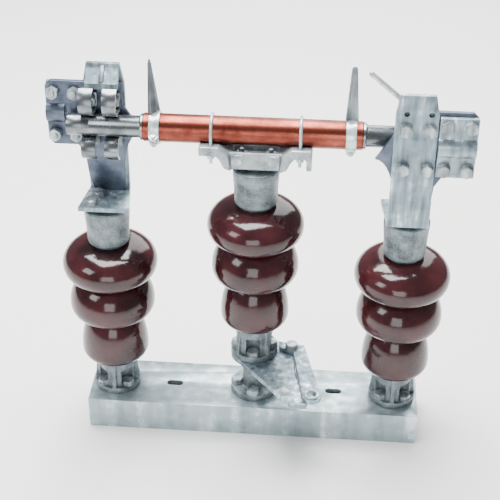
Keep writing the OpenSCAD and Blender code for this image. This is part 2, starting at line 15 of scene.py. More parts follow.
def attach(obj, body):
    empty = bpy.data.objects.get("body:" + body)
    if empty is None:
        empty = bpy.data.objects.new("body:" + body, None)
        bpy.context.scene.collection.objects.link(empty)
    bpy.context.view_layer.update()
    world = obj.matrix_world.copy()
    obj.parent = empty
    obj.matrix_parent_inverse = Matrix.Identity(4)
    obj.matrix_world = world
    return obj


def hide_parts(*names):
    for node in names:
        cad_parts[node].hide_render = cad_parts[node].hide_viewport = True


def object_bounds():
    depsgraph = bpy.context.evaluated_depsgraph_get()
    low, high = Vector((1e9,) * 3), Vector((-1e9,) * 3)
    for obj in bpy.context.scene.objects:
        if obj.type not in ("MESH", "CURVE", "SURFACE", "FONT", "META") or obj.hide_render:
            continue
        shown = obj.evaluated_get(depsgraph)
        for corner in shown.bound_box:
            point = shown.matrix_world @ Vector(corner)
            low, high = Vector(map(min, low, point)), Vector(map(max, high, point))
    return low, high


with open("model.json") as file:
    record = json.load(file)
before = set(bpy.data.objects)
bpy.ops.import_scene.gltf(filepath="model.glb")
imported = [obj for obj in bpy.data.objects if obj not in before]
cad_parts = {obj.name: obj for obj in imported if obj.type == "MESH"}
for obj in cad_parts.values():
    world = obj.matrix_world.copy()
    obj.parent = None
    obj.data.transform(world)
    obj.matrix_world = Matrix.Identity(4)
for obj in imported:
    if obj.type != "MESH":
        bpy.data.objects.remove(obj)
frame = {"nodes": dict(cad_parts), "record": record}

cad_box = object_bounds()
MM = 0.001
body_of_node = {
    node: body
    for body, nodes in frame["record"]["behaviour"]["bodies"].items()
    for node in nodes
}
print(len(frame["nodes"]), "parts on", sorted(set(body_of_node.values())))

# %% [markdown]
# ## Camera, floor and light
# The switch is seen from the front, a little from the right and from above, through a long lens.
# A long lens stands far back, so that the three posts stay nearly parallel. The floor is plain and
# pale, and big soft lamps stand for an overcast sky: a large one overhead, one at the back, one at
# the left front, and a low one in front that lies on the glaze as a bright square.

# %% Camera
camera_place = Vector((76, -1146, 960)) * MM
yaw, pitch, roll = (math.radians(angle) for angle in (-4.1, 33.4, 0.46))
look = Vector((math.sin(yaw) * math.cos(pitch), math.cos(yaw) * math.cos(pitch), -math.sin(pitch)))
bpy.ops.object.camera_add(location=camera_place)
camera = bpy.context.object
camera.rotation_mode = "QUATERNION"
camera.rotation_quaternion = look.to_track_quat("-Z", "Y") @ Quaternion((0, 0, 1), roll)
camera.data.sensor_width = 36
camera.data.lens = 86.5
camera.data.clip_start = 0.05
bpy.context.scene.camera = camera
print("camera at", [round(v, 3) for v in camera.location])

# %% Floor and lamps
floor_z = cad_box[0].z
bpy.ops.mesh.primitive_plane_add(size=14, location=(0, 2, floor_z))
floor = bpy.context.object
floor.name = "studio_floor"

lamps = {
    "overhead": ((-0.25, 0.45, 2.1), 1.6, 195),
    "left_front": ((-1.6, -1.1, 1.5), 0.8, 18),
    "front_window": ((-0.1, -2.4, 0.75), 1.2, 22),
    "back": ((0.5, 2.2, 1.5), 1.6, 40),
}
for lamp_name, (place, size, watts) in lamps.items():
    bpy.ops.object.light_add(type="AREA", location=place)
    lamp = bpy.context.object
    lamp.name = lamp_name
    lamp.data.size = size
    lamp.data.energy = watts
    aim = Vector((0, 0, 0.2)) - Vector(place)
    lamp.rotation_mode = "QUATERNION"
    lamp.rotation_quaternion = aim.to_track_quat("-Z", "Y")
world = bpy.data.worlds.new("pale_sky")
bpy.context.scene.world = world
world.use_nodes = True
world.node_tree.nodes["Background"].inputs["Color"].default_value = (0.93, 0.95, 1.0, 1)
world.node_tree.nodes["Background"].inputs["Strength"].default_value = 0.3
print(len(lamps), "lamps")

# %% [markdown]
# ## How a material is made
# A finish is a tree of small nodes round one shader. `add` puts in one node with its settings and
# links, so that each material reads as a list. Colours are written as the eye reads them, in hex,
# and `linear` turns them into the numbers that light adds up in.

# %% Node helper and colours
def linear(hex_colour):
    channels = [int(hex_colour[i:i + 2], 16) / 255 for i in (1, 3, 5)]
    return tuple(c / 12.92 if c <= 0.04045 else ((c + 0.055) / 1.055) ** 2.4 for c in channels) + (1.0,)


def add(tree, kind, inputs=None, **settings):
    node = tree.nodes.new("ShaderNode" + kind)
    ramp = settings.pop("ramp", None)
    for key, value in settings.items():
        setattr(node, key, value)
    for key, value in (inputs or {}).items():
        if isinstance(value, bpy.types.NodeSocket):
            tree.links.new(value, node.inputs[key])
        else:
            node.inputs[key].default_value = value
    if ramp:
        while len(node.color_ramp.elements) < len(ramp):
            node.color_ramp.elements.new(1)
        for element, (position, colour) in zip(node.color_ramp.elements, ramp):
            element.position = position
            element.color = colour if isinstance(colour, tuple) else (colour,) * 3 + (1,)
    return node


def new_material(name):
    material = bpy.data.materials.new(name)
    material.use_nodes = True
    tree = material.node_tree
    shader = tree.nodes["Principled BSDF"]
    place = add(tree, "TexCoord").outputs["Object"]
    return material, tree, shader, place


def per_metre(size_mm):
    return 1000 / size_mm


# %% [markdown]
# ### Hot-dip galvanised steel
# Steel plate and channel are dipped in molten zinc. The zinc freezes in crystals about 9 mm across,
# the spangle, and dries with soft runs and dull patches; where it is rubbed it goes near white. A
# smooth Voronoi pattern, pushed about by a noise so that no edge is straight, gives the crystals
# faintly. A noise stretched upwards gives the runs, which the eye sees first.

# %% Galvanised steel
def galvanised_steel(name, light, dark, roughness, runs_mm=7, relief=0.35, worn="#e3ecee"):
    material, tree, shader, place = new_material(name)
    blur = add(tree, "TexNoise", {"Vector": place, "Scale": per_metre(5), "Detail": 2.0})
    push = 6 * MM
    wander = add(tree, "VectorMath", {0: blur.outputs["Color"], 1: (push, push, push), 2: place},
                 operation="MULTIPLY_ADD")
    spangle = add(tree, "TexVoronoi", {"Vector": wander.outputs[0], "Scale": per_metre(9),
                                       "Smoothness": 0.6}, feature="SMOOTH_F1")
    stretched = add(tree, "Mapping", {"Vector": place, "Scale": (1, 1, 0.12)})
    runs = add(tree, "TexNoise", {"Vector": stretched.outputs[0], "Scale": per_metre(runs_mm),
                                  "Detail": 6.0})
    patches = add(tree, "TexNoise", {"Vector": place, "Scale": per_metre(70), "Detail": 4.0})
    grain = add(tree, "TexNoise", {"Vector": place, "Scale": per_metre(1.6), "Detail": 4.0})
    cell = add(tree, "SeparateColor", {"Color": spangle.outputs["Color"]})
    mixed = add(tree, "Math", {0: cell.outputs[0], 1: 0.14}, operation="MULTIPLY")
    mixed = add(tree, "Math", {0: runs.outputs[0], 1: 0.9, 2: mixed.outputs[0]}, operation="MULTIPLY_ADD")
    mixed = add(tree, "Math", {0: patches.outputs[0], 1: 0.5, 2: mixed.outputs[0]},
                operation="MULTIPLY_ADD")
    tone = add(tree, "ValToRGB", {"Fac": mixed.outputs[0]}, ramp=[
        (0.52, linear(dark)), (0.84, linear(light)), (1.0, linear(worn))])
    tree.links.new(tone.outputs[0], shader.inputs["Base Color"])
    dull = add(tree, "MapRange", {"Value": mixed.outputs[0], "From Min": 0.4, "From Max": 1.1,
                                  "To Min": roughness + 0.12, "To Max": roughness - 0.08})
    tree.links.new(dull.outputs[0], shader.inputs["Roughness"])
    shader.inputs["Metallic"].default_value = 0.5
    bump = add(tree, "Bump", {"Height": grain.outputs[0], "Strength": 0.12, "Distance": 0.0004})
    bump = add(tree, "Bump", {"Height": runs.outputs[0], "Strength": relief, "Distance": 0.0008,
                              "Normal": bump.outputs[0]})
    tree.links.new(bump.outputs[0], shader.inputs["Normal"])
    return material


channel_zinc = galvanised_steel("galvanised_channel", "#a5b6bb", "#7c8a8f", 0.3, 18, 0.1)
plate_zinc = galvanised_steel("galvanised_plate", "#8ea1a9", "#48565e", 0.34)
bolt_zinc = galvanised_steel("galvanised_bolts", "#a9b3b7", "#525a5e", 0.3)
horn_zinc = galvanised_steel("dulled_horn_zinc", "#848d91", "#42494d", 0.4, worn="#aab3b6")
bright_zinc = galvanised_steel("bright_zinc_fittings", "#cfd8db", "#869196", 0.26)
clamp_zinc = galvanised_steel("galvanised_clamp", "#9aabb2", "#55626a", 0.26)
zincs = (channel_zinc, plate_zinc, bolt_zinc, horn_zinc, bright_zinc, clamp_zinc)
print("zinc finishes:", [zinc.name for zinc in zincs])


# %% [markdown]
# ### Rough castings
# Caps and bases are malleable iron poured in sand and then galvanised. Sand leaves grains of half a
# millimetre or so, drawn here at about 2 mm so that they show. Dirt stays in the hollows, so the
# same noise drives the relief and the colour.

# %% Castings
def sand_casting(name, light, dark, metallic, roughness, grain_mm, depth_mm):
    material, tree, shader, place = new_material(name)
    grain = add(tree, "TexNoise", {"Vector": place, "Scale": per_metre(grain_mm), "Detail": 8.0,
                                   "Roughness": 0.65})
    lumps = add(tree, "TexNoise", {"Vector": place, "Scale": per_metre(14), "Detail": 3.0})
    mixed = add(tree, "Math", {0: grain.outputs[0], 1: 0.6}, operation="MULTIPLY")
    mixed = add(tree, "Math", {0: lumps.outputs[0], 1: 0.7, 2: mixed.outputs[0]}, operation="MULTIPLY_ADD")
    tone = add(tree, "ValToRGB", {"Fac": mixed.outputs[0]}, ramp=[
        (0.42, linear(dark)), (0.82, linear(light))])
    tree.links.new(tone.outputs[0], shader.inputs["Base Color"])
    dull = add(tree, "MapRange", {"Value": mixed.outputs[0], "From Min": 0.4, "From Max": 0.9,
                                  "To Min": roughness + 0.15, "To Max": roughness - 0.08})
    tree.links.new(dull.outputs[0], shader.inputs["Roughness"])
    shader.inputs["Metallic"].default_value = metallic
    bump = add(tree, "Bump", {"Height": grain.outputs[0], "Strength": 0.5, "Distance": depth_mm * MM})
    bump = add(tree, "Bump", {"Height": lumps.outputs[0], "Strength": 0.5, "Distance": 3 * depth_mm * MM,
                              "Normal": bump.outputs[0]})
    tree.links.new(bump.outputs[0], shader.inputs["Normal"])
    return material


iron_casting = sand_casting("sand_cast_galvanised_iron", "#8c989c", "#39444a", 0.5, 0.44, 2.0, 0.6)
aluminium_casting = sand_casting("sand_cast_aluminium", "#b9c1c5", "#70797e", 0.5, 0.38, 1.8, 0.3)
print("castings:", iron_casting.name, aluminium_casting.name)


# %% [markdown]
# ### Brown porcelain
# The insulators are fired clay under a thick glassy brown glaze. The glaze pools and thins, so the
# brown drifts from near black to red brown, and its skin has a faint orange peel. The glaze is
# glass, so a low roughness and an IOR of 1.5 give the wet look without a clear coat.

# %% Porcelain
def brown_glaze():
    material, tree, shader, place = new_material("glazed_brown_porcelain")
    pools = add(tree, "TexNoise", {"Vector": place, "Scale": per_metre(38), "Detail": 3.0})
    peel = add(tree, "TexNoise", {"Vector": place, "Scale": per_metre(9), "Detail": 2.0})
    specks = add(tree, "TexVoronoi", {"Vector": place, "Scale": per_metre(5)}, feature="F1")
    tone = add(tree, "ValToRGB", {"Fac": pools.outputs[0]},
               ramp=[(0.32, linear("#1f0b0e")), (0.72, linear("#482024"))])
    pin = add(tree, "Math", {0: specks.outputs["Distance"], 1: 0.07}, operation="LESS_THAN")
    speckled = add(tree, "Mix", {0: pin.outputs[0], 6: tone.outputs[0], 7: linear("#1a090a")},
                   data_type="RGBA")
    tree.links.new(speckled.outputs[2], shader.inputs["Base Color"])
    shader.inputs["Roughness"].default_value = 0.13
    shader.inputs["IOR"].default_value = 1.5
    bump = add(tree, "Bump", {"Height": peel.outputs[0], "Strength": 0.25, "Distance": 0.0009})
    tree.links.new(bump.outputs[0], shader.inputs["Normal"])
    return material


glaze = brown_glaze()
print("glaze nodes:", len(glaze.node_tree.nodes))


# %% [markdown]
# ### Drawn copper and tinned contacts
# The blade is drawn copper tube, handled and a little tarnished: salmon pink where it is rubbed,
# brown where it isn't, with faint lines along the draw. The contact ends and fingers are tinned, a
# soft silver with the same lines, hardly raised. Real draw lines are too fine to see from here, so
# they are drawn 1.5 mm apart.

# %% Copper and tin
def drawn_metal(name, bright, dull, metallic, roughness, relief=0.15):
    material, tree, shader, place = new_material(name)
    along = add(tree, "Mapping", {"Vector": place, "Scale": (0.06, 1, 1)})
    lines = add(tree, "TexNoise", {"Vector": along.outputs[0], "Scale": per_metre(1.5), "Detail": 4.0})
    cloud = add(tree, "TexNoise", {"Vector": place, "Scale": per_metre(26), "Detail": 6.0,
                                   "Roughness": 0.6})
    mixed = add(tree, "Math", {0: lines.outputs[0], 1: 0.2}, operation="MULTIPLY")
    mixed = add(tree, "Math", {0: cloud.outputs[0], 1: 1.0, 2: mixed.outputs[0]}, operation="MULTIPLY_ADD")
    tone = add(tree, "ValToRGB", {"Fac": mixed.outputs[0]}, ramp=[
        (0.42, linear(dull)), (0.86, linear(bright))])
    tree.links.new(tone.outputs[0], shader.inputs["Base Color"])
    rubbed = add(tree, "MapRange", {"Value": mixed.outputs[0], "From Min": 0.4, "From Max": 0.9,
                                    "To Min": roughness + 0.14, "To Max": roughness - 0.06})
    tree.links.new(rubbed.outputs[0], shader.inputs["Roughness"])
    shader.inputs["Metallic"].default_value = metallic
    bump = add(tree, "Bump", {"Height": lines.outputs[0], "Strength": relief, "Distance": 0.0003})
    tree.links.new(bump.outputs[0], shader.inputs["Normal"])
    return material


copper = drawn_metal("drawn_copper", "#985041", "#58261d", 0.95, 0.25, 0.06)
tin = drawn_metal("tinned_copper", "#989da0", "#5a6063", 0.95, 0.22, 0.03)
tin_plate = drawn_metal("tinned_plate", "#747e8e", "#3d4655", 0.7, 0.28, 0.08)
print("drawn metals:", copper.name, tin.name, tin_plate.name)

# %% [markdown]
# ## Which part gets which finish
# Each CAD part names its material slot in the record, and each slot has one finish here. Parts that
# are seen closely are remade below; the finish is laid on first, so that none is left bare.

# %% Finish the CAD parts
finish_of_slot = {
    "galvanised_steel": plate_zinc,
    "galvanised_casting": iron_casting,
    "brown_porcelain": glaze,
    "bolt_steel": bolt_zinc,
    "cast_aluminium": aluminium_casting,
    "copper": copper,
    "tinned_contact": tin,
    "horn_steel": horn_zinc,
}
slot_of_node = {entry["node"]: entry["material_slot"] for entry in frame["record"]["subparts"]}
for node, part in frame["nodes"].items():
    part.data.materials.clear()
    part.data.materials.append(finish_of_slot[slot_of_node[node]])
frame["nodes"]["base_channel"].data.materials[0] = channel_zinc
print("slots in use:", sorted(set(slot_of_node.values())))

# %% [markdown]
# ## Working by hand
# Every piece is modelled the way it would be with the mouse: start from a primitive, extrude, spin,
# bevel. An operator works on whatever is selected, so the first helper clears the selection and the
# second picks one piece. `modify` puts a modifier on and applies it at once.

# %% Picking and modifying
def deselect():
    if bpy.context.mode != "OBJECT":
        bpy.ops.object.mode_set(mode="OBJECT")
    bpy.ops.object.select_all(action="DESELECT")


def take(*pieces):
    deselect()
    for piece in pieces:
        piece.select_set(True)
    bpy.context.view_layer.objects.active = pieces[0]
    return pieces[0]


def modify(piece, kind, **settings):
    take(piece)
    modifier = piece.modifiers.new(kind.lower(), kind)
    for key, value in settings.items():
        setattr(modifier, key, value)
    bpy.ops.object.modifier_apply(modifier=modifier.name)
    return piece


def pick(piece, wanted):
    take(piece)
    bpy.ops.object.mode_set(mode="EDIT")
    bpy.ops.mesh.select_mode(type="VERT")
    bpy.ops.mesh.select_all(action="DESELECT")
    bpy.ops.object.mode_set(mode="OBJECT")
    places = []
    for vertex in piece.data.vertices:
        if wanted(vertex.co):
            vertex.select = True
            places.append(vertex.co.copy())
    bpy.ops.object.mode_set(mode="EDIT")
    return places


def smooth(piece, angle=35):
    take(piece)
    bpy.ops.object.shade_smooth_by_angle(angle=math.radians(angle))
    return piece


# %% [markdown]
# Half of the switch is turned on a lathe or thrown on a wheel, so a profile spun about an axis gives
# it. `trace` draws the profile: it shrinks a plane to one point and extrudes that point from corner
# to corner. `arc` gives the points of a curved stretch. All sizes are in millimetres.

# %% Tracing and spinning
def trace(name, points):
    deselect()
    bpy.ops.mesh.primitive_plane_add(size=MM, location=(0, 0, 0))
    piece = bpy.context.object
    piece.name = name
    bpy.ops.object.mode_set(mode="EDIT")
    bpy.ops.mesh.merge(type="CENTER")
    bpy.ops.transform.translate(value=Vector(points[0]) * MM)
    for before, after in zip(points, points[1:]):
        step = (Vector(after) - Vector(before)) * MM
        bpy.ops.mesh.extrude_vertices_move(TRANSFORM_OT_translate={"value": step})
    bpy.ops.mesh.select_all(action="SELECT")
    return piece


def arc(centre, radii, start, end, count):
    turns = [math.radians(start + (end - start) * i / count) for i in range(count + 1)]
    return [(centre[0] + radii[0] * math.cos(t), centre[1] + radii[1] * math.sin(t)) for t in turns]


def close_up(piece):
    bpy.ops.mesh.select_all(action="SELECT")
    bpy.ops.mesh.remove_doubles(threshold=0.01 * MM)
    bpy.ops.mesh.normals_make_consistent(inside=False)
    bpy.ops.object.mode_set(mode="OBJECT")
    return piece


def spun(name, profile, centre=(0, 0, 0), axis=(0, 0, 1), steps=96):
    out = Vector((0, 0, 1)) if axis[0] else Vector((1, 0, 0))
    points = [Vector(centre) + out * radius + Vector(axis) * along for radius, along in profile]
    piece = trace(name, points)
    bpy.ops.mesh.spin(steps=steps, angle=2 * math.pi, center=Vector(centre) * MM, axis=axis)
    return smooth(close_up(piece))


# %% [markdown]
# Plates and bars are cut from flat stock: `slab` traces an outline, fills it and extrudes it to its
# thickness. Where a CAD part already has every hole, `rounded_copy` starts from its shape instead:
# it merges the loose triangles, dissolves the flat ones and rounds the edges, as tumbling, zinc and
# handling do to real steel. `cast` does the same for castings: a fine voxel mesh is smoothed until
# the corners are as soft as a sand mould leaves them, and a fine noise gives it the grain of sand.

# %% Slabs, rounded copies and castings
def slab(name, outline, depth):
    piece = trace(name, outline)
    bpy.ops.mesh.edge_face_add()
    bpy.ops.mesh.extrude_region_move(TRANSFORM_OT_translate={"value": Vector(depth) * MM})
    return close_up(piece)


def bevelled(piece, width, segments=3, angle=30):
    modify(piece, "BEVEL", width=width * MM, segments=segments, limit_method="ANGLE",
           angle_limit=math.radians(angle), harden_normals=False)
    return smooth(piece)


def merged_copy(node, name):
    piece = bpy.data.objects.new(name, frame["nodes"][node].data.copy())
    bpy.context.collection.objects.link(piece)
    take(piece)
    bpy.ops.object.mode_set(mode="EDIT")
    return close_up(piece)


def rounded_copy(node, name, width, segments=3):
    piece = merged_copy(node, name)
    modify(piece, "DECIMATE", decimate_type="DISSOLVE", angle_limit=math.radians(1))
    return bevelled(piece, width, segments)


sand = bpy.data.textures.new("sand_grain", "CLOUDS")
sand.noise_scale = 5 * MM
sand.noise_depth = 3


def cast(piece, voxel=0.9, rounds=4, grain=0.35):
    modify(piece, "REMESH", mode="VOXEL", voxel_size=voxel * MM)
    modify(piece, "SMOOTH", factor=0.5, iterations=rounds)
    modify(piece, "DISPLACE", texture=sand, texture_coords="LOCAL", strength=grain * MM, mid_level=0.5)
    return smooth(piece, 60)


# %% [markdown]
# Like parts are modelled once. `copy_of` duplicates a piece with its own mesh, moves or turns it and
# applies the move, so that the copy sits at the origin with its place in its mesh. `hand_in` gives a
# piece its finish, lets it ride on the body of the CAD parts it stands for, and hides those parts.

# %% Copies and handing in
def copy_of(piece, name, move=(0, 0, 0), turn=(0, 0, 0)):
    take(piece)
    bpy.ops.object.duplicate(linked=False)
    copy = bpy.context.object
    copy.name = name
    copy.rotation_euler = [math.radians(angle) for angle in turn]
    copy.location = Vector(move) * MM
    bpy.ops.object.transform_apply(location=True, rotation=True, scale=True)
    return copy


def join(name, pieces):
    take(*pieces)
    if len(pieces) > 1:
        bpy.ops.object.join()
    pieces[0].name = name
    return pieces[0]


def discard(*pieces):
    take(*pieces)
    bpy.ops.object.delete()


def hand_in(piece, finish, *nodes):
    piece.data.materials.clear()
    piece.data.materials.append(finish)
    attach(piece, body_of_node[nodes[0]])
    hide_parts(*nodes)
    return piece


# %% [markdown]
# ## The porcelain posts
# An insulator is turned from a clay blank: a core with three bell-shaped sheds that keep a dry path
# when it rains. Each shed is a full dome, a fat rounded rim, and a drip edge with a hollow under it.
# One profile goes down through all three, and a spin makes the post. The other two are copies.

# %% Sheds
post_x, post_rise, post_h = 169, 59, 254
core_r, cap_h, foot_h = 20, 48, 46


def shed(radius, rim_z, dome_h, rim_h=16):
    edge = radius - 11
    hollow = (core_r + 5 + edge) / 2
    return (
        arc((core_r, rim_z), (radius - core_r, dome_h), 88, 0, 18)
        + arc((edge, rim_z), (11, rim_h), -6, -100, 12)
        + [(hollow, rim_z - rim_h + 3), (core_r + 5, rim_z - rim_h + 4), (core_r + 1, rim_z - rim_h + 2)]
    )


sheds = shed(55, 180, 26) + shed(50, 126, 36) + shed(40, 60, 48, 13)
post_profile = [(0, post_h - cap_h), (core_r - 1, post_h - cap_h)] + sheds + [(core_r, foot_h), (0, foot_h)]
left_porcelain = spun("left_porcelain", post_profile, (-post_x, 0, 0), steps=120)
right_porcelain = copy_of(left_porcelain, "right_porcelain", (2 * post_x, 0, 0))
centre_porcelain = copy_of(left_porcelain, "centre_porcelain", (post_x, 0, post_rise))
hand_in(left_porcelain, glaze, "left_post_porcelain")
hand_in(right_porcelain, glaze, "right_post_porcelain")
hand_in(centre_porcelain, glaze, "centre_post_porcelain")
print("porcelain:", len(left_porcelain.data.polygons), "faces each")

# %% [markdown]
# ## Caps and bases
# The ends of the porcelain are cemented into malleable iron castings. The cap is a plain tapered
# pot with a ring of cement under it, so it is spun and then given its sand skin. The base has ribs
# and pockets for the bolt heads: it starts from the CAD part and its corners are melted together.

# %% Caps
cap_r = 26
cap_low = post_h - cap_h + 3
cap_profile = (
    [(0, cap_low - 3), (core_r + 0.5, cap_low - 3), (core_r + 0.7, cap_low)]
    + arc((cap_r - 4, cap_low + 2), (2, 2), -90, 0, 4)
    + [(cap_r - 1.4, cap_low + 20), (cap_r - 0.3, post_h - 9)]
    + arc((cap_r - 2, post_h - 2), (2, 2), 0, 90, 4)
    + [(0, post_h)]
)
left_cap = cast(spun("left_cap", cap_profile, (-post_x, 0, 0)), grain=0.5)
right_cap = copy_of(left_cap, "right_cap", (2 * post_x, 0, 0))
centre_cap = copy_of(left_cap, "centre_cap", (post_x, 0, post_rise))
for side, cap in (("left", left_cap), ("right", right_cap), ("centre", centre_cap)):
    hand_in(cap, iron_casting, side + "_post_cap")
print("cap:", len(left_cap.data.polygons), "faces each")

# %% Bases
left_base = cast(merged_copy("left_post_base", "left_base"), voxel=0.8, rounds=5, grain=0.5)
right_base = copy_of(left_base, "right_base", (2 * post_x, 0, 0))
level = copy_of(left_base, "level", (post_x, 0, 0))
centre_base = copy_of(level, "centre_base", (0, 0, post_rise), (0, 0, 45))
discard(level)
for side, base in (("left", left_base), ("right", right_base), ("centre", centre_base)):
    hand_in(base, iron_casting, side + "_post_base")
print("base:", len(left_base.data.polygons), "faces each")

# %% [markdown]
# ## Channel, bearing and shaft
# The channel is rolled, so its edges are round but true. The bearing is a cast sleeve with a flange.
# The shaft is turned: a plain journal, a hub under the lever and a collar that keeps it from lifting.

# %% Channel, bearing, shaft
channel = rounded_copy("base_channel", "rolled_channel", 1.1)
hand_in(channel, channel_zinc, "base_channel")
bearing = cast(merged_copy("bearing_housing", "bearing_sleeve"), voxel=0.8, rounds=4, grain=0.3)
hand_in(bearing, iron_casting, "bearing_housing")
shaft = spun("turned_shaft", [
    (0, -19.3), (7.2, -19.3), (8, -18.5), (8, -13.3), (10, -13.3), (10.5, -12.8), (10.5, -5.8), (10, -5.3),
    (8, -5.3), (8, 38.3), (11.8, 38.3), (12.5, 39), (12.5, 44), (11.9, 44.6), (11.9, 46.4), (12.5, 47),
    (12.5, 53), (0, 53),
])
hand_in(shaft, plate_zinc, "turning_shaft")
print("channel:", len(channel.data.polygons), "faces")

# %% [markdown]
# ## Lever and rod strap
# The lever is a gusset of 6 mm plate with a weld bead along its right edge. A strap bolted on top of
# it carries the eye for the drive rod, with a boss round the hole to spread the wear.

# %% Lever
lever_top = post_rise
lever = rounded_copy("drive_lever", "lever_plate", 0.9)
outer = [(50, 2), (53, -42), (66, -83), (63, -94)]
inner = [(60.5, -93), (63, -83), (50.5, -42), (47.5, 2)]
bead = bevelled(slab("bead", [(x, y, lever_top - 0.5) for x, y in outer + inner], (0, 0, 2.2)), 0.9)
lever = join("lever_plate", [lever, bead])
hand_in(lever, plate_zinc, "drive_lever")
strap = rounded_copy("lever_strap", "rod_strap", 0.9)
rod_eye = (72, -86, post_rise)
boss = spun("boss", [(5.2, 5), (9.2, 5), (9.2, 6.2), (8.4, 7), (6, 7), (5.2, 6.3), (5.2, 5)], rod_eye)
strap = join("rod_strap", [strap, boss])
hand_in(strap, plate_zinc, "lever_strap")
print("lever and strap:", len(lever.data.polygons), len(strap.data.polygons), "faces")

# %% [markdown]
# ## Bolts and nuts
# A forged hexagon has its corners turned off at 30 degrees. A plain six-sided prism is cut by a
# barrel with coned ends, and what is left of it has the right curved chamfers. The thread that
# stands out of a nut is a zigzag profile, spun. One bolt of each grip is made and then copied.

# %% Hexagons and threads
def hexagon(low, high, flats, cut_top=True, cut_low=False):
    corner = flats / math.sqrt(3)
    deselect()
    bpy.ops.mesh.primitive_cylinder_add(vertices=6, radius=corner * MM, depth=(high - low) * MM,
                                        location=(0, 0, (low + high) / 2 * MM))
    prism = bpy.context.object
    bpy.ops.object.transform_apply(location=True, rotation=True, scale=True)
    wide, face_r, slope = corner + 0.6, 0.47 * flats, 0.62
    cone = slope * (wide - face_r)
    top = [(wide, high - cone), (face_r, high)] if cut_top else [(wide, high)]
    foot = [(face_r, low), (wide, low + cone)] if cut_low else [(wide, low)]
    barrel = spun("barrel", [(0, low)] + foot + top + [(0, high)], steps=36)
    modify(prism, "BOOLEAN", operation="INTERSECT", object=barrel, solver="EXACT")
    discard(barrel)
    return smooth(prism, 25)


def thread(low, high, radius, pitch=1.25):
    count = max(1, round((high - low - 0.8) / pitch))
    ridges = []
    for i in range(count):
        ridges += [(radius, low + 0.8 + pitch * i), (radius - 0.55, low + 0.8 + pitch * (i + 0.5))]
    return spun("thread", [(0, low), (radius - 0.8, low)] + ridges + [(radius, high), (0, high)], steps=24)


head_kinds = {}


def hexagon_of(height, flats):
    if (height, flats) not in head_kinds:
        head_kinds[height, flats] = hexagon(0, height, flats)
    return head_kinds[height, flats]


# %% Bolts
def bolt(name, grip, flats=13, radius=4, head=5.0, nut=6.5, tail=2, nutted=True):
    wide, thick = flats * 0.6, 1.1
    washer = spun("washer", [(0, 0), (wide, 0), (wide, 0.9), (flats * 0.58, thick), (0, thick)], steps=36)
    parts = [washer, copy_of(hexagon_of(head, flats), "head", (0, 0, thick))]
    if nutted:
        parts.append(spun("shank", [(0, -grip), (radius, -grip), (radius, 0.5), (0, 0.5)], steps=24))
        parts.append(hexagon(-grip - nut, -grip, flats, cut_top=False, cut_low=True))
        parts.append(thread(-grip - nut - tail, -grip - nut + 0.5, radius))
    return join(name, parts)


def row_of(name, master, places):
    return join(name, [copy_of(master, name, move, turn) for move, turn in places])


def on_circle(centre, radius, first, twist=0):
    places = []
    for turn in (first, first + 90, first + 180, first + 270):
        x = centre[0] + radius * math.cos(math.radians(turn))
        y = centre[1] + radius * math.sin(math.radians(turn))
        places.append(((x, y, centre[2]), (0, 0, turn + twist)))
    return places


# %% Bolts of the bases
foot_bolt_r, flange_t = 20.5, 8
base_bolt = bolt("base_bolt", 13)
bearing_ring = on_circle((0, 0, flange_t), foot_bolt_r, 0, 30)
hand_in(row_of("bearing_flange_bolts", base_bolt, bearing_ring), bolt_zinc, "bearing_bolts")
for side, x in (("left", -post_x), ("right", post_x)):
    bolts = row_of(side + "_base_bolts", base_bolt, on_circle((x, 0, flange_t), foot_bolt_r, 45, 10))
    hand_in(bolts, bolt_zinc, side + "_post_bolts")
rotor_bolt = bolt("rotor_bolt", 14)
rotor_ring = on_circle((0, 0, post_rise + flange_t), foot_bolt_r, 0, 10)
hand_in(row_of("centre_base_bolts", rotor_bolt, rotor_ring), bolt_zinc, "centre_post_bolts")
lever_bolt = bolt("lever_bolt", 11)
hand_in(row_of("strap_bolt", lever_bolt, [((45, 1, 64), (0, 0, 20))]), bolt_zinc, "lever_bolts")
print("one bolt:", len(base_bolt.data.polygons), "faces")

# %% [markdown]
# ## Cradle, studs and U-bolts
# The cradle is an aluminium casting: a tray bolted to the cap, and two wings with a half-round seat
# for the tube. The U-bolts are bent from bright rod. A disc is extruded up one leg, spun over the
# tube and extruded down the other, exactly as the rod is bent.

# %% Cradle
cradle_z, blade_z = 318, 355.5
cradle = cast(merged_copy("cradle", "cradle_casting"), voxel=0.85, rounds=16, grain=0.4)
hand_in(cradle, aluminium_casting, "cradle")
spacer = spun("cap_spacer", [(0, 313), (12.6, 313), (13, 313.4), (13, 317.6), (12.6, 318), (0, 318)])
hand_in(spacer, iron_casting, "cradle_spacer")
print("cradle:", len(cradle.data.polygons), "faces")

# %% Studs and pads
rod_end = thread(0, 5.5, 3)
stud = join("stud", [
    hexagon(0, 6.5, 13, cut_top=True),
    spun("washer", [(0, 0), (8, 0), (8, 1), (0, 1)], steps=36),
    spun("rod", [(0, -10), (3, -10), (3, 6), (0, 6)], steps=24),
    copy_of(rod_end, "thread", (0, 0, 11.5), (180, 0, 0)),
])
pad_head = hexagon(1.5, 6, 10)
pad_size = Vector((12.5, 12.5, 2)) * MM
deselect()
bpy.ops.mesh.primitive_cube_add(size=1, location=(0, 0, 1 * MM), scale=pad_size)
pad = bpy.context.object
bpy.ops.object.transform_apply(location=True, rotation=True, scale=True)
pad_bolt = join("pad_bolt", [pad_head, bevelled(pad, 0.7)])
fastenings = [copy_of(stud, "stud_copy", (x, 0, cradle_z + 5), (0, 0, 30)) for x in (-16, 16)]
fastenings += [copy_of(pad_bolt, "pad_copy", (x, side * 20, cradle_z + 13), (-side * 90, 0, 0))
               for x in (-20, 20) for side in (-1, 1)]
hand_in(join("cradle_fastenings", fastenings), bolt_zinc, "cradle_bolts")
print("fastenings:", len(fastenings), "in one piece")

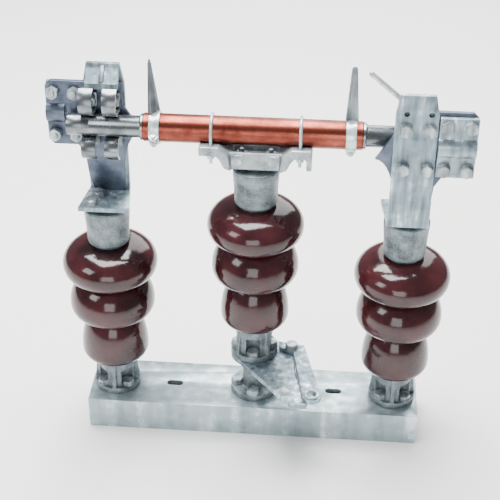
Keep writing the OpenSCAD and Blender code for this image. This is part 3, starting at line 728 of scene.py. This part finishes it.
# %% U-bolts
rod_r, bend_r, leg_low = 1.75, 17.55, cradle_z + 6
deselect()
bpy.ops.mesh.primitive_circle_add(vertices=20, radius=rod_r * MM, fill_type="NGON",
                                  location=Vector((0, bend_r, leg_low)) * MM)
u_bolt = bpy.context.object
bpy.ops.object.transform_apply(location=True, rotation=True, scale=True)
bpy.ops.object.mode_set(mode="EDIT")
bpy.ops.mesh.select_all(action="SELECT")
bpy.ops.mesh.extrude_region_move(TRANSFORM_OT_translate={"value": (0, 0, (blade_z - leg_low) * MM)})
bpy.ops.mesh.spin(steps=32, angle=math.pi, center=(0, 0, blade_z * MM), axis=(-1, 0, 0))
bpy.ops.mesh.extrude_region_move(TRANSFORM_OT_translate={"value": (0, 0, (leg_low - blade_z) * MM)})
smooth(close_up(u_bolt))
nut = hexagon(0, 4.5, 8, cut_top=False, cut_low=True)
nuts = [copy_of(nut, "nut_copy", (0, side * bend_r, cradle_z + 12.5)) for side in (-1, 1)]
u_bolt = join("u_bolt", [u_bolt] + nuts)
u_bolt_pair = row_of("u_bolt_pair", u_bolt, [((-48, 0, 0), (0, 0, 0)), ((48, 0, 0), (0, 0, 0))])
hand_in(u_bolt_pair, bright_zinc, "u_bolts")
print("U-bolts reach z", round(max(v.co.z for v in u_bolt_pair.data.vertices) / MM, 1), "mm")

# %% [markdown]
# ## The blade
# The blade is a copper tube with a tinned contact pressed into each end. A rolled ring marks the
# joint. Tube, contacts and rings are all round about one line along X, so each is spun about it.

# %% Tube and contacts
blade_shift, tube_half, tube_r, contact_r = -4, 118, 15.5, 12
contact_len = 84
tube = spun("copper_tube", [
    (12.5, -tube_half + 1), (13, -tube_half), (15, -tube_half), (tube_r, -tube_half + 0.6),
    (tube_r, tube_half - 0.6), (15, tube_half), (13, tube_half), (12.5, tube_half - 1),
    (12.5, -tube_half + 1),
], (blade_shift, 0, blade_z), (1, 0, 0), 120)
hand_in(tube, copper, "blade_tube")
for side, name in ((-1, "left"), (1, "right")):
    contact = spun(name + "_contact", [
        (0, -25), (12.1, -25), (12.1, 0), (14.2, 0), (14.6, 0.5), (14.6, 2.6), (14.1, 3.2), (12.6, 3.6),
        (contact_r, 5), (contact_r, 58), (contact_r - 0.35, 58.5), (contact_r - 0.35, 59.5),
        (contact_r, 60), (contact_r, contact_len - 1.6), (contact_r - 0.5, contact_len - 0.5),
        (contact_r - 1.6, contact_len),
        (7.6, contact_len), (7, contact_len - 0.7), (0, contact_len - 1.2),
    ], (blade_shift + side * tube_half, 0, blade_z), (side, 0, 0), 96)
    hand_in(contact, tin, name + "_blade_contact")
print("blade:", 2 * (tube_half + contact_len), "mm long")

# %% [markdown]
# ## Arcing horns and their clamps
# When the switch opens, the arc climbs the horns and burns them and not the contacts. They are
# pressed steel strips with turned-in edges, each on a band clamped round the tube.

# %% Horns and clamps
def arcing_horn(side, draw_in):
    piece = merged_copy(side + "_horn", side + "_arcing_horn")
    modify(piece, "DECIMATE", decimate_type="DISSOLVE", angle_limit=math.radians(1))
    tip = pick(piece, lambda place: place.z > (blade_z + 60) * MM)
    middle = sum(tip, Vector()) / len(tip)
    bpy.ops.transform.resize(value=(draw_in, draw_in, 1), center_override=middle)
    bpy.ops.object.mode_set(mode="OBJECT")
    return bevelled(piece, 0.4, 2)


for side, draw_in in (("left", 0.45), ("right", 0.85)):
    hand_in(rounded_copy(side + "_horn_clamp", side + "_horn_band", 0.5), bright_zinc, side + "_horn_clamp")
    hand_in(arcing_horn(side, draw_in), horn_zinc, side + "_horn")
rod_start, rod_turn = (152, -20, 409), -50
rod = spun("rod", [(0, 0), (2.8, 0), (2.8, 44)] + arc((0, 44), (2.8, 2.8), 0, 90, 8), steps=32)
fixed_horn = copy_of(rod, "fixed_horn_rod", rod_start, (0, rod_turn, 0))
hand_in(fixed_horn, bright_zinc, "right_fixed_horn")
discard(rod)
print("fixed horn tip at z", round(max(v.co.z for v in fixed_horn.data.vertices) * 1000, 1), "mm")

# %% [markdown]
# ## Jaws and terminals
# Each jaw is a strip of 5 mm plate bent into a foot, a back and a hood. Two pairs of sprung fingers
# grip the blade, and the terminal plate behind them carries the conductor clamp. The left jaw is
# made first, and the right one is the same jaw turned half round. A finger's outline is a smooth
# curve through a few points: along the blade, out at the front and back in at the lip.

# %% Fingers
def through(points, count=6):
    path = []
    ends = [points[0]] + list(points) + [points[-1]]
    for a, b, c, d in zip(ends, ends[1:], ends[2:], ends[3:]):
        for i in range(count):
            t = i / count
            path.append(tuple(
                0.5 * (2 * q + (r - p) * t + (2 * p - 5 * q + 4 * r - s) * t * t
                       + (3 * q - p - 3 * r + s) * t ** 3)
                for p, q, r, s in zip(a, b, c, d)))
    return path + [tuple(points[-1])]


def finger(name, x, lip_h, flip):
    low, root, top = 12.3, 17, 32
    lip = lip_h - low
    outside = through([(root, top), (root, low + 3), (root - 3, low + 0.1), (6, low), (-2, low),
                       (-9, low + 0.1 * lip), (-14, low + 0.3 * lip), (-15.5, low + 0.52 * lip),
                       (-13, low + 0.75 * lip), (-8.5, low + 0.91 * lip), (-3, lip_h)])
    inside = through([(-3.8, lip_h - 3), (-7.3, low + 0.83 * lip), (-10.6, low + 0.71 * lip),
                      (-12.4, low + 0.52 * lip), (-11.4, low + 0.35 * lip), (-7.6, low + 0.19 * lip),
                      (-1, low + 3), (6, low + 3), (13, low + 3.1), (14, low + 4.2), (14, top)])
    outline = [(-x - 7.5, y, blade_z + flip * z) for y, z in outside + inside]
    return bevelled(slab(name, outline, (15, 0, 0)), 0.7, 2)


finger_x = (157, 182.5)
left_upper = join("left_upper_pair", [finger("left_upper_pair", x, 44.5, 1) for x in finger_x])
left_lower = join("left_lower_pair", [finger("left_lower_pair", x, 40, -1) for x in finger_x])
print("fingers:", len(left_upper.data.polygons), "faces a pair")

# %% Brackets, plates and spacers
left_bracket = rounded_copy("left_jaw_bracket", "left_bent_bracket", 1.2, 4)
left_terminal = rounded_copy("left_terminal_plate", "left_terminal_pad", 0.8)
left_clamp = rounded_copy("left_clamp_plate", "left_clamp_saddle", 0.9)
left_spacer = spun("left_cap_spacer", [
    (0, 254), (12.6, 254), (13, 254.4), (13, 258.6), (12.6, 259), (0, 259)], (-post_x, 0, 0))
print("bracket:", len(left_bracket.data.polygons), "faces")

# %% Jaw bolts
finger_bolt = bolt("finger_bolt", 13)
clamp_bolt = bolt("clamp_bolt", 11.5)
foot_bolt = bolt("foot_bolt", 10, nutted=False)
back = (-90, 0, 0)
screws = [copy_of(finger_bolt, "screw", (-x, 27, blade_z + z), back)
          for x in finger_x for z in (-23, 23)]
screws += [copy_of(clamp_bolt, "screw", (-x, 28.5, 359.5 + z), back)
           for x in (224, 200) for z in (-25.5, 25.5)]
screws += [copy_of(foot_bolt, "screw", (-x, y, 264)) for x, y in ((179, 5), (183, -13))]
left_screws = join("left_jaw_screws", screws)
print("jaw bolts:", len(left_screws.data.polygons), "faces")

# %% The right jaw
jaw = {
    "upper_fingers": (left_upper, tin), "lower_fingers": (left_lower, tin),
    "jaw_bracket": (left_bracket, plate_zinc), "terminal_plate": (left_terminal, tin_plate),
    "clamp_plate": (left_clamp, clamp_zinc), "jaw_spacer": (left_spacer, iron_casting),
    "jaw_bolts": (left_screws, bolt_zinc),
}
for node, (piece, finish) in jaw.items():
    mate = copy_of(piece, piece.name.replace("left", "right"), turn=(0, 0, 180))
    hand_in(piece, finish, "left_" + node)
    hand_in(mate, finish, "right_" + node)
print("jaw parts on each side:", len(jaw))

# %% [markdown]
# ### The dark strip on the left hood
# A dark strip runs down the left jaw's hood only. It is made as a thin dark bar laid along the
# slope, with round edges and the dulled zinc of the horns. Its outline stands in the plane of the
# slope's side, and is extruded across.

# %% Dark strip on the hood
hood_slope = [(26.5, 417.6), (7.5, 401.4), (7, 403.4), (25.5, 419.2)]
strip_x, strip_w = -170.5, 5
# a thin dark bar on the slope of the left hood only; the right jaw gets none
hood_strip = slab("left_hood_weld", [(strip_x, y, z) for y, z in hood_slope], (strip_w, 0, 0))
bevelled(hood_strip, 0.7)
hood_strip.data.materials.append(horn_zinc)
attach(hood_strip, "frame")
print("hood strip:", len(hood_strip.data.polygons), "faces")

# %% [markdown]
# ## Clearing the bench
# The masters that the copies came from are thrown away, so that only finished pieces are left. The
# floor gets matt paper, which shows soft shadows and no mirror image.

# %% Masters away
discard(*head_kinds.values(), rod_end, base_bolt, rotor_bolt, lever_bolt, stud, pad_bolt, nut, u_bolt,
        finger_bolt, clamp_bolt, foot_bolt)
shown = [piece for piece in bpy.data.objects
         if piece.type == "MESH" and not piece.hide_render and piece is not floor]
triangles = sum(len(p.data.loop_triangles) or 2 * len(p.data.polygons) for p in shown)
print("shown pieces:", len(shown), "and triangles:", triangles)

# %% Floor finish
paper, tree, shader, place = new_material("pale_backdrop_paper")
shader.inputs["Base Color"].default_value = linear("#f4f4f2")
shader.inputs["Roughness"].default_value = 0.9
floor.data.materials.append(paper)
print("floor finish:", paper.name)
